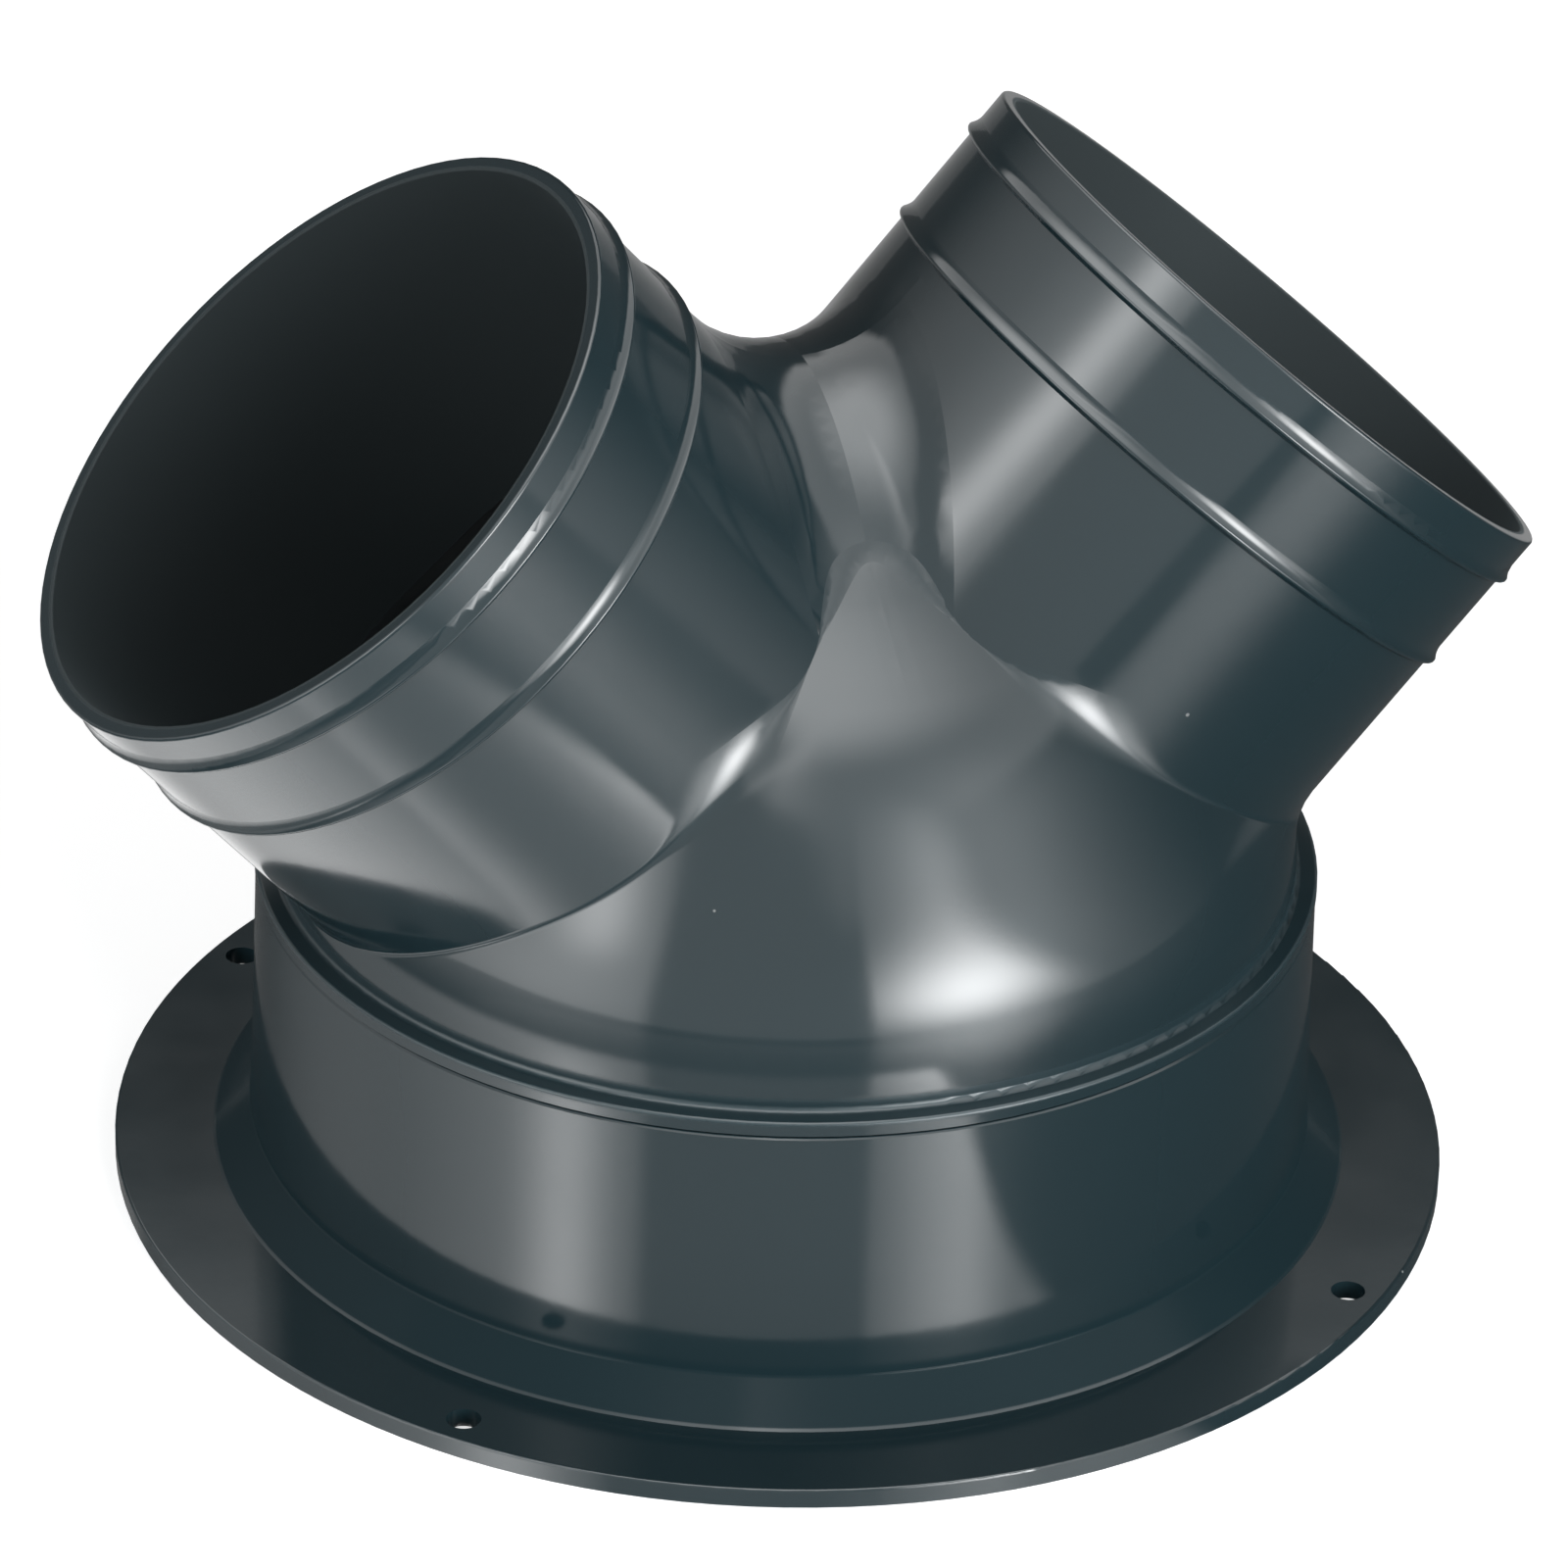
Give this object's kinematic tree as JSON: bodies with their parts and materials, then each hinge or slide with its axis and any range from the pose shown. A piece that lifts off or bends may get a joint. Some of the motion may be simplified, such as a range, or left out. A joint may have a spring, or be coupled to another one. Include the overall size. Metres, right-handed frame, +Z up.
{
  "type": "duct y branch",
  "caption": "Duct Y branch: a screw-on flange and round collar below a domed body that splits into two slanted, beaded tube ends.",
  "frame": {"origin": "middle of the flange's underside, on the collar's axis", "axes": "+Z up along the collar, away from the surface that the flange is screwed to; both branch tubes lie in the XZ plane"},
  "size_m": [0.2202, 0.1982, 0.1596],
  "materials": {
    "collar_plastic": "glossy moulded, dark slate grey",
    "branch_plastic": "glossy moulded, dark slate grey"
  },
  "bodies": {
    "root": {"flange_collar": "collar_plastic", "branch_body": "branch_plastic"}
  },
  "joints": []
}
